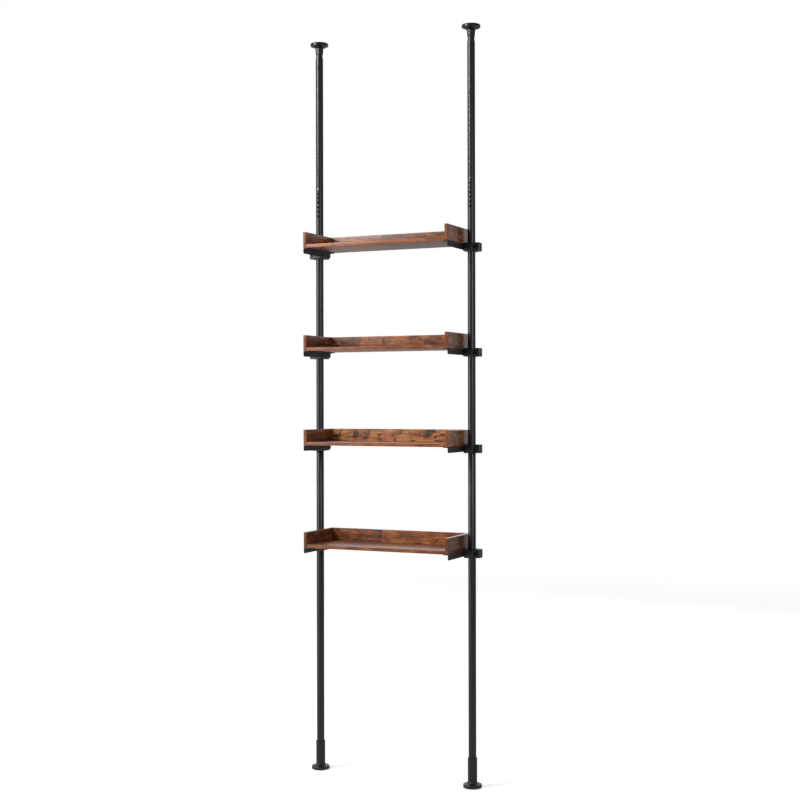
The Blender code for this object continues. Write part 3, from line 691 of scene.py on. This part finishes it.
def add_bolt(name, centre, body):
    """An M5 socket bolt along Y: its head with a six-sided socket and a washer in front of the ears,
    and a six-sided nut behind them."""
    face, socket = CLAMP_LIP, 0.0020
    head = [(0, face + 0.0032), (socket, face + 0.0032), (socket * 1.03, face + 0.0056),
            (0.0038, face + 0.0060), (0.00425, face + 0.0056), (0.00425, face + 0.0012),
            (0.0052, face + 0.0011), (0.0052, face + 0.0001), (0, face + 0.0001)]
    nut = [(0, -face - 0.0001), (0.0046, -face - 0.0001), (0.0046, -face - 0.0037),
           (0.0042, -face - 0.0041), (0.0025, -face - 0.0041), (0.0024, -face - 0.0052),
           (0, -face - 0.0052)]
    front = six_sided(head, centre, slice(0, 3), 1.1)
    add_piece(f"{name}_head", join_grids([front]), [BLACK_ZINC], body)
    back = six_sided(nut, centre, slice(1, 4), 0.93)
    add_piece(f"{name}_nut", join_grids([back]), [BLACK_ZINC], body, sharp=30)


# Poles

SLEEVE_WALL = 0.0025
SLEEVE_LIP = 0.0004            # how far the sleeve's rim stands out
PAD_RECESS = 0.0018            # how deep the pads sit in the foot and the cup
PAD_GROOVES = (0.009, 0.015, 0.021)    # radii of the rings
GROOVE_MOUTH = 0.0008          # half a groove's width at the pad's face
GROOVE_FLOOR = 0.0004          # half its width at its floor
GROOVE_DEPTH = 0.0006


def make_foot(side):
    """Foot cup and floor pad, turned: a flange whose top slopes up to a flared socket sleeve."""
    node = f"{side}_foot_cup"
    low, high, axis, flange = node_box(node)
    tube_low, _, _, tube_radius = node_box(f"{side}_lower_tube")
    bore = tube_radius + FIT_GAP
    sleeve = bore + SLEEVE_WALL
    lip = sleeve + SLEEVE_LIP
    base, top = low[2], high[2]
    seat = node_box(f"{side}_floor_pad")[3] + FIT_GAP
    floor = tube_low[2] - FIT_GAP
    flange_side, flange_top, flare_foot, flare_top = base + np.array([0.0086, 0.0102, 0.0125, 0.0155])
    profile = soften([
        (0, floor), (bore, floor), (bore, top), (lip, top), (lip, top - 0.0035), (sleeve, top - 0.0042),
        (sleeve, flare_top), (sleeve + 0.0030, flare_foot), (flange - 0.0012, flange_top),
        (flange, flange_side), (flange, base), (seat, base), (seat, base + PAD_RECESS),
        (0, base + PAD_RECESS),
    ], [0, 0.0005, 0.0006, 0.0008, 0.0005, 0.0010, 0.005, 0.003, 0.0012, 0.0015, 0.0006, 0.0004, 0.0003, 0],
        5, closed=False)
    add_piece(f"{node}_moulding", join_grids([lathe(profile, axis, 96)]), [NYLON], "poles", [node])
    make_pad(f"{side}_floor_pad", "poles", -1)


def make_pad(node, body, sign):
    """A rubber disc with round rims and three ring grooves in the face that presses outwards."""
    low, high, axis, rim = node_box(node)
    grooves = [(ring + offset, depth) for ring in PAD_GROOVES for offset, depth in
               ((-GROOVE_MOUTH, 0), (-GROOVE_FLOOR, GROOVE_DEPTH), (GROOVE_FLOOR, GROOVE_DEPTH),
                (GROOVE_MOUTH, 0))]
    thick = high[2] - low[2]
    profile = np.array([(0, 0), *grooves, (rim, 0), (rim, thick), (0, thick)])
    radius = [0, *([0.0002] * len(grooves)), 0.0006, 0.0006, 0]
    profile = soften(profile, radius, 3, closed=False)
    profile[:, 1] = low[2] + profile[:, 1] if sign < 0 else high[2] - profile[:, 1]
    add_piece(f"{node}_rubber", join_grids([lathe(profile, axis)]), [RUBBER], body, [node])


TUBE_WALL = 0.0012
HOLE_RADIUS = 0.00325
HOLE_PITCH = 0.015
HOLE_COUNT = 25
TOP_HOLE = 0.1665              # below the upper tube's end
BUTTON_TO_END = 0.010          # from the inner tube's lower end up to the button


def make_lower_tube(side):
    """A plain tube: the section of its wall, with blunted corners, carried round the axis."""
    node = f"{side}_lower_tube"
    low, high, axis, outer = node_box(node)
    inner = outer - TUBE_WALL
    profile = soften([(outer, high[2]), (outer, low[2]), (inner, low[2]), (inner, high[2])],
                     [0.0003, 0.0003, 0.0002, 0.0002], 2)
    profile = np.concatenate([profile, profile[:1]])
    add_piece(f"{node}_steel", join_grids([lathe(profile, axis)]), [POWDER_COAT], "poles",
              [node])


def make_upper_tube(side):
    """A tube with the row of adjustment holes down its front."""
    node = f"{side}_upper_tube"
    low, high, axis, outer = node_box(node)
    heights = high[2] - TOP_HOLE - HOLE_PITCH * np.arange(HOLE_COUNT)
    surface = pierced_tube(axis, outer, outer - TUBE_WALL, low[2], high[2], heights, HOLE_RADIUS, HOLE_PITCH)
    add_piece(f"{node}_steel", surface, [POWDER_COAT], "poles", [node])


def make_inner_tube(side):
    """The telescoping tube, with one hole near its lower end for the lock button."""
    node = f"{side}_inner_tube"
    low, high, axis, outer = node_box(node)
    hole = low[2] + BUTTON_TO_END
    surface = pierced_tube(axis, outer, outer - TUBE_WALL, low[2], high[2], np.array([hole]), HOLE_RADIUS,
                           HOLE_PITCH)
    add_piece(f"{node}_steel", surface, [POWDER_COAT], f"{side}_inner_pole", [node])
    make_button(side, axis, hole)


def make_button(side, axis, height):
    """The lock button: a domed pin with a shoulder, turned about a line to the front."""
    node = f"{side}_lock_button"
    low, high, _, shoulder = node_box(node)
    face = axis[1] - low[1]
    back = axis[1] - high[1]
    pin, shoulder_front = 0.00295, back + 0.0015
    profile = soften([(0, face), (pin * 0.6, face - 0.0001), (pin, face - 0.0009), (pin, shoulder_front),
                      (shoulder, shoulder_front), (shoulder, back), (0, back)],
                     [0, 0.0012, 0.0008, 0.0001, 0.0003, 0.0003, 0], 4, closed=False)
    grid = lathe(profile, (axis[0], axis[1], height), 40, along="-y")
    add_piece(f"{node}_pin", join_grids([grid]), [NICKEL], f"{side}_button", [node])


SPRING_STRIP = 0.0006


def make_button_spring(side):
    """The button's spring: a strip bent to a U, with one leg behind the button and the other at the tube's
    back wall."""
    node = f"{side}_button_spring"
    low, high, middle, _ = node_box(node)
    half = SPRING_STRIP / 2
    front, back, top = low[1] + half, high[1] - half, high[2]
    bend = (back - front) / 2
    foot = low[2] + half + bend
    turn = np.linspace(0, math.pi, 17)
    leg = np.linspace(top, foot, 12)[:-1]
    line = np.concatenate([np.stack([np.full_like(leg, front), leg], -1),
                           np.stack([front + bend - bend * np.cos(turn), foot - bend * np.sin(turn)], -1),
                           np.stack([np.full_like(leg, back), leg[::-1]], -1)])
    tangent = np.gradient(line, axis=0)
    tangent /= np.linalg.norm(tangent, axis=1)[:, None]
    normal = np.stack([-tangent[:, 1], tangent[:, 0]], -1)
    section = [(low[0], half), (high[0], half), (high[0], -half), (low[0], -half)]
    edges = [np.column_stack([np.full(len(line), x), line + shift * normal]) for x, shift in section]
    surface, ends = capped(np.stack(edges, 1))
    piece = add_piece(f"{node}_strip", surface, [SPRING_STEEL], None, [node], caps=ends)
    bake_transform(piece)


NUT_BORE = 0.0053
NUT_RIBS = 20
NUT_RIB_DEPTH = 0.0003
NUT_TAPER = 0.0015             # how far its side draws in from top to bottom


def make_nut(side):
    """The hand nut: a ring whose side draws in a little towards its foot, and is fluted with grip ribs
    that fade out at its two rims."""
    node = f"{side}_tension_nut"
    low, high, axis, rim = node_box(node)
    tall = high[2] - low[2]
    # Distances from a rim towards the middle, the rounding there and the share of the ribs' depth.
    rise = np.array([0, 0.0004, 0.0010, 0.0022, 0.0034])
    rounding = np.array([0.0010, 0.0004, 0.0001, 0, 0])
    share = np.array([0, 0, 0, 0.5, 1])
    height = np.concatenate([tall - rise, [tall / 2], rise[::-1]])
    inset = np.concatenate([rounding, [0], rounding[::-1]])
    depth = np.concatenate([share, [1], share[::-1]]) * NUT_RIB_DEPTH
    turn = np.linspace(0, 2 * math.pi, 241)
    flute = 0.5 - 0.5 * np.cos(NUT_RIBS * turn)
    draft = NUT_TAPER * (1 - height / tall)
    radius = rim - (inset + draft)[:, None] - depth[:, None] * flute[None, :] ** 2
    side_wall = around(radius, low[2] + height, turn, axis)
    hole = lathe([(NUT_BORE, low[2]), (NUT_BORE, high[2])], axis, 240)
    grid = np.concatenate([side_wall, hole, side_wall[:1]])
    add_piece(f"{node}_moulding", join_grids([grid]), [NYLON], f"{side}_nut", [node])


STEM_LEAD = 0.004              # rise of the thread in one turn
THREAD_DEPTH = 0.0007
THREAD_FADE = 0.004            # length over which the thread runs out
PLAIN_TOP = 0.010              # plain ends of the stem
PLAIN_FOOT = 0.001
CUP_SOCKET = 0.008             # depth of the hole that takes the stem


def make_jack(side):
    """Jack stem with a rolled thread, ceiling cup and ceiling pad. The stem's radius dips once a turn
    on a rounded wave: the phase is the height over the lead less the turn."""
    body = f"{side}_jack"
    node = f"{side}_jack_stem"
    low, high, axis, stem = node_box(node)
    height = np.linspace(high[2], low[2], 401)
    turn = np.linspace(0, 2 * math.pi, 37)
    wave = np.cos(2 * math.pi * height[:, None] / STEM_LEAD - turn[None, :])
    to_end = np.minimum(high[2] - PLAIN_TOP - height, height - low[2] - PLAIN_FOOT)
    fade = np.clip(to_end / THREAD_FADE, 0, 1)
    radius = stem - THREAD_DEPTH * fade[:, None] * np.clip(0.5 - 0.9 * wave, 0, 1)
    wall = around(radius, height, turn, axis)
    tips = lathe([(0, high[2]), (0, low[2])], axis, 36)
    surface = join_grids([np.concatenate([tips[:1], wall, tips[1:]])])
    add_piece(f"{node}_thread", surface, [ZINC], body, [node])

    node = f"{side}_ceiling_cup"
    low, high, _, cup = node_box(node)
    seat = node_box(f"{side}_ceiling_pad")[3] + FIT_GAP
    socket = stem + FIT_GAP
    base, top = low[2], high[2]
    profile = soften([
        (0, top - PAD_RECESS), (seat, top - PAD_RECESS), (seat, top), (cup, top), (cup, top - 0.0080),
        (cup - 0.0014, top - 0.0089), (0.0158, base + 0.0006), (0.0147, base), (socket, base),
        (socket, base + CUP_SOCKET), (0, base + CUP_SOCKET),
    ], [0, 0.0003, 0.0004, 0.0010, 0.0012, 0.0015, 0.0012, 0.0008, 0.0003, 0.0003, 0], 4, closed=False)
    add_piece(f"{node}_moulding", join_grids([lathe(profile, axis, 96)]), [NYLON], body, [node])
    make_pad(f"{side}_ceiling_pad", body, 1)


for level_name in LEVELS:
    make_boards(level_name)
    for side_name, side_sign in SIDES.items():
        make_bracket(level_name, side_name, side_sign)
        add_bracket_screws(level_name, side_name, side_sign)
        make_clamp(level_name, side_name, side_sign)
for side_name in SIDES:
    make_foot(side_name)
    make_lower_tube(side_name)
    make_upper_tube(side_name)
    make_inner_tube(side_name)
    make_button_spring(side_name)
    make_nut(side_name)
    make_jack(side_name)
    for node_name, material_used in {"tube_coupler": ZINC, "stem_guide": NYLON}.items():
        finish_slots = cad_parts[f"{side_name}_{node_name}"].data.materials
        finish_slots.clear()
        finish_slots.append(material_used)


# Stage, light and camera

FLOOR_HALF = 40.0              # half the studio floor's width
FLOOR_DROP = 0.0005            # keeps the floor clear of the pads' faces


def seen_level(tree, in_mirror):
    """The light path's rays, and how far each ray sees white: 1 from the camera or through glass, the
    given level in a reflection, and 0 for all others."""
    rays = add_node(tree, "ShaderNodeLightPath").outputs
    mirrored = add_node(tree, "ShaderNodeMath", {0: rays["Is Glossy Ray"], 1: in_mirror},
                        operation="MULTIPLY")
    seen = add_node(tree, "ShaderNodeMath", {0: rays["Is Camera Ray"], 1: rays["Is Transmission Ray"]},
                    operation="MAXIMUM")
    seen = add_node(tree, "ShaderNodeMath", {0: seen.outputs[0], 1: mirrored.outputs[0]},
                    operation="MAXIMUM")
    return rays, seen.outputs[0]


def white_sweep():
    """A matt white studio floor that keeps shadows. The camera and the reflections see it as white:
    for them it glows, more so far from the lamps, where less light falls."""
    material, tree, shader, place = new_material("white studio floor")
    away = add_node(tree, "ShaderNodeVectorMath", {0: place}, operation="LENGTH").outputs["Value"]
    glow = add_node(tree, "ShaderNodeMapRange", {"Value": away, "From Min": 0.6, "From Max": 6.0,
                    "To Min": 0.52, "To Max": 0.86})
    # A reflection sees the far floor white, and the floor at the rack's feet as the lamps light it.
    distant = add_node(tree, "ShaderNodeMapRange", {"Value": away, "From Min": 2.0, "From Max": 7.0,
                       "To Min": 0.0, "To Max": 0.4})
    _, seen = seen_level(tree, distant.outputs["Result"])
    level = add_node(tree, "ShaderNodeMath", {0: seen, 1: glow.outputs["Result"]}, operation="MULTIPLY")
    feed(tree, shader, {"Base Color": linear("#e6e6e6"), "Roughness": 0.9, "Emission Color": (1, 1, 1, 1),
                        "Emission Strength": level.outputs[0]})
    return material


def make_stage():
    """The floor, and a world that is white to the camera and dim to the object. Reflections see it
    white behind the rack and dim in front of it, where a studio is dark."""
    corners = np.array([(-1, -1, 0), (1, -1, 0), (1, 1, 0), (-1, 1, 0)], float) * FLOOR_HALF
    mesh = bpy.data.meshes.new("studio_floor")
    mesh.from_pydata((corners - (0, 0, FLOOR_DROP)).tolist(), [], [(0, 1, 2, 3)])
    mesh.materials.append(white_sweep())
    floor = bpy.data.objects.new("studio_floor", mesh)
    bpy.context.scene.collection.objects.link(floor)
    world = bpy.data.worlds.new("studio")
    bpy.context.scene.world = world
    world.use_nodes = True
    tree = world.node_tree
    # The backdrop is brightest behind the rack and to its left.
    ahead = add_node(tree, "ShaderNodeTexCoord").outputs["Generated"]
    facing = add_node(tree, "ShaderNodeVectorMath", {0: ahead, 1: (-0.35, 0.937, 0)}, operation="DOT_PRODUCT")
    backdrop = add_node(tree, "ShaderNodeMapRange", {"Value": facing.outputs["Value"], "From Min": 0.3,
                        "From Max": 0.9, "To Min": 0.25, "To Max": 1.0})
    rays, seen = seen_level(tree, backdrop.outputs["Result"])
    plain = add_node(tree, "ShaderNodeMapRange", {"Value": rays["Is Glossy Ray"], "To Min": 0.14,
                     "To Max": 0.0})
    level = add_node(tree, "ShaderNodeMath", {0: seen, 1: plain.outputs["Result"]}, operation="MAXIMUM")
    feed(tree, tree.nodes["Background"], {"Color": (1, 1, 1, 1), "Strength": level.outputs[0]})


def add_softbox(name, place, target, width, height, watts, glossy=True):
    """A rectangular soft lamp at a place, turned to its target. Without glossy it leaves no highlight."""
    light = bpy.data.lights.new(name, "AREA")
    light.shape = "RECTANGLE"
    light.size = width
    light.size_y = height
    light.energy = watts
    lamp = bpy.data.objects.new(name, light)
    lamp.location = place
    lamp.rotation_euler = (Vector(target) - Vector(place)).to_track_quat("-Z", "Y").to_euler()
    lamp.visible_glossy = glossy
    lamp.visible_camera = False
    bpy.context.scene.collection.objects.link(lamp)


PHOTO_WIDTH = 800              # pixels
FOCAL_LENGTH = 1376.38         # of the camera fitted to the photograph, in its pixels
SENSOR_WIDTH = 36.0            # millimetres
CAMERA_PLACE = (1.9048, -4.0086, 1.2294)
CAMERA_TURN = (24.859, 0.024, -0.112)    # yaw, pitch and roll, degrees


def make_camera():
    """The photograph's viewpoint: right of the front, at mid height, looking level."""
    yaw, pitch, roll = (math.radians(angle) for angle in CAMERA_TURN)
    ahead = Vector((-math.sin(yaw) * math.cos(pitch), math.cos(yaw) * math.cos(pitch), math.sin(pitch)))
    right = Vector((math.cos(yaw), math.sin(yaw), 0))
    up = right.cross(ahead)
    tilted_right = right * math.cos(roll) + up * math.sin(roll)
    tilted_up = up * math.cos(roll) - right * math.sin(roll)
    turned = Matrix((tilted_right, tilted_up, -ahead)).transposed().to_4x4()
    data = bpy.data.cameras.new("photo_view")
    data.sensor_width = SENSOR_WIDTH
    data.lens = SENSOR_WIDTH * FOCAL_LENGTH / PHOTO_WIDTH
    camera = bpy.data.objects.new("photo_view", data)
    camera.matrix_world = Matrix.Translation(CAMERA_PLACE) @ turned
    bpy.context.scene.collection.objects.link(camera)
    bpy.context.scene.camera = camera


make_stage()
add_softbox("key", (-1.90, -2.50, 3.00), (0, 0, 1.5), 0.8, 0.85, 88)
add_softbox("left_panel", (-2.52, -2.10, 1.60), (0, 0, 1.3), 1.2, 1.5, 46)
add_softbox("front_fill", (-2.40, -2.10, 0.5), (0, 0, 0.9), 0.8, 0.9, 10)
add_softbox("side_strip", (2.40, -1.74, 1.75), (0, 0, 1.4), 0.5, 1.0, 22)
add_softbox("rim_strip", (-1.30, 3.0, 1.90), (0, 0, 1.0), 1.2, 0.3, 1.8)
add_softbox("back_fill", (0.6, 3.2, 2.6), (0, 0, 1.2), 2.0, 2.0, 50, glossy=False)
make_camera()
bpy.context.scene.view_settings.view_transform = "Standard"
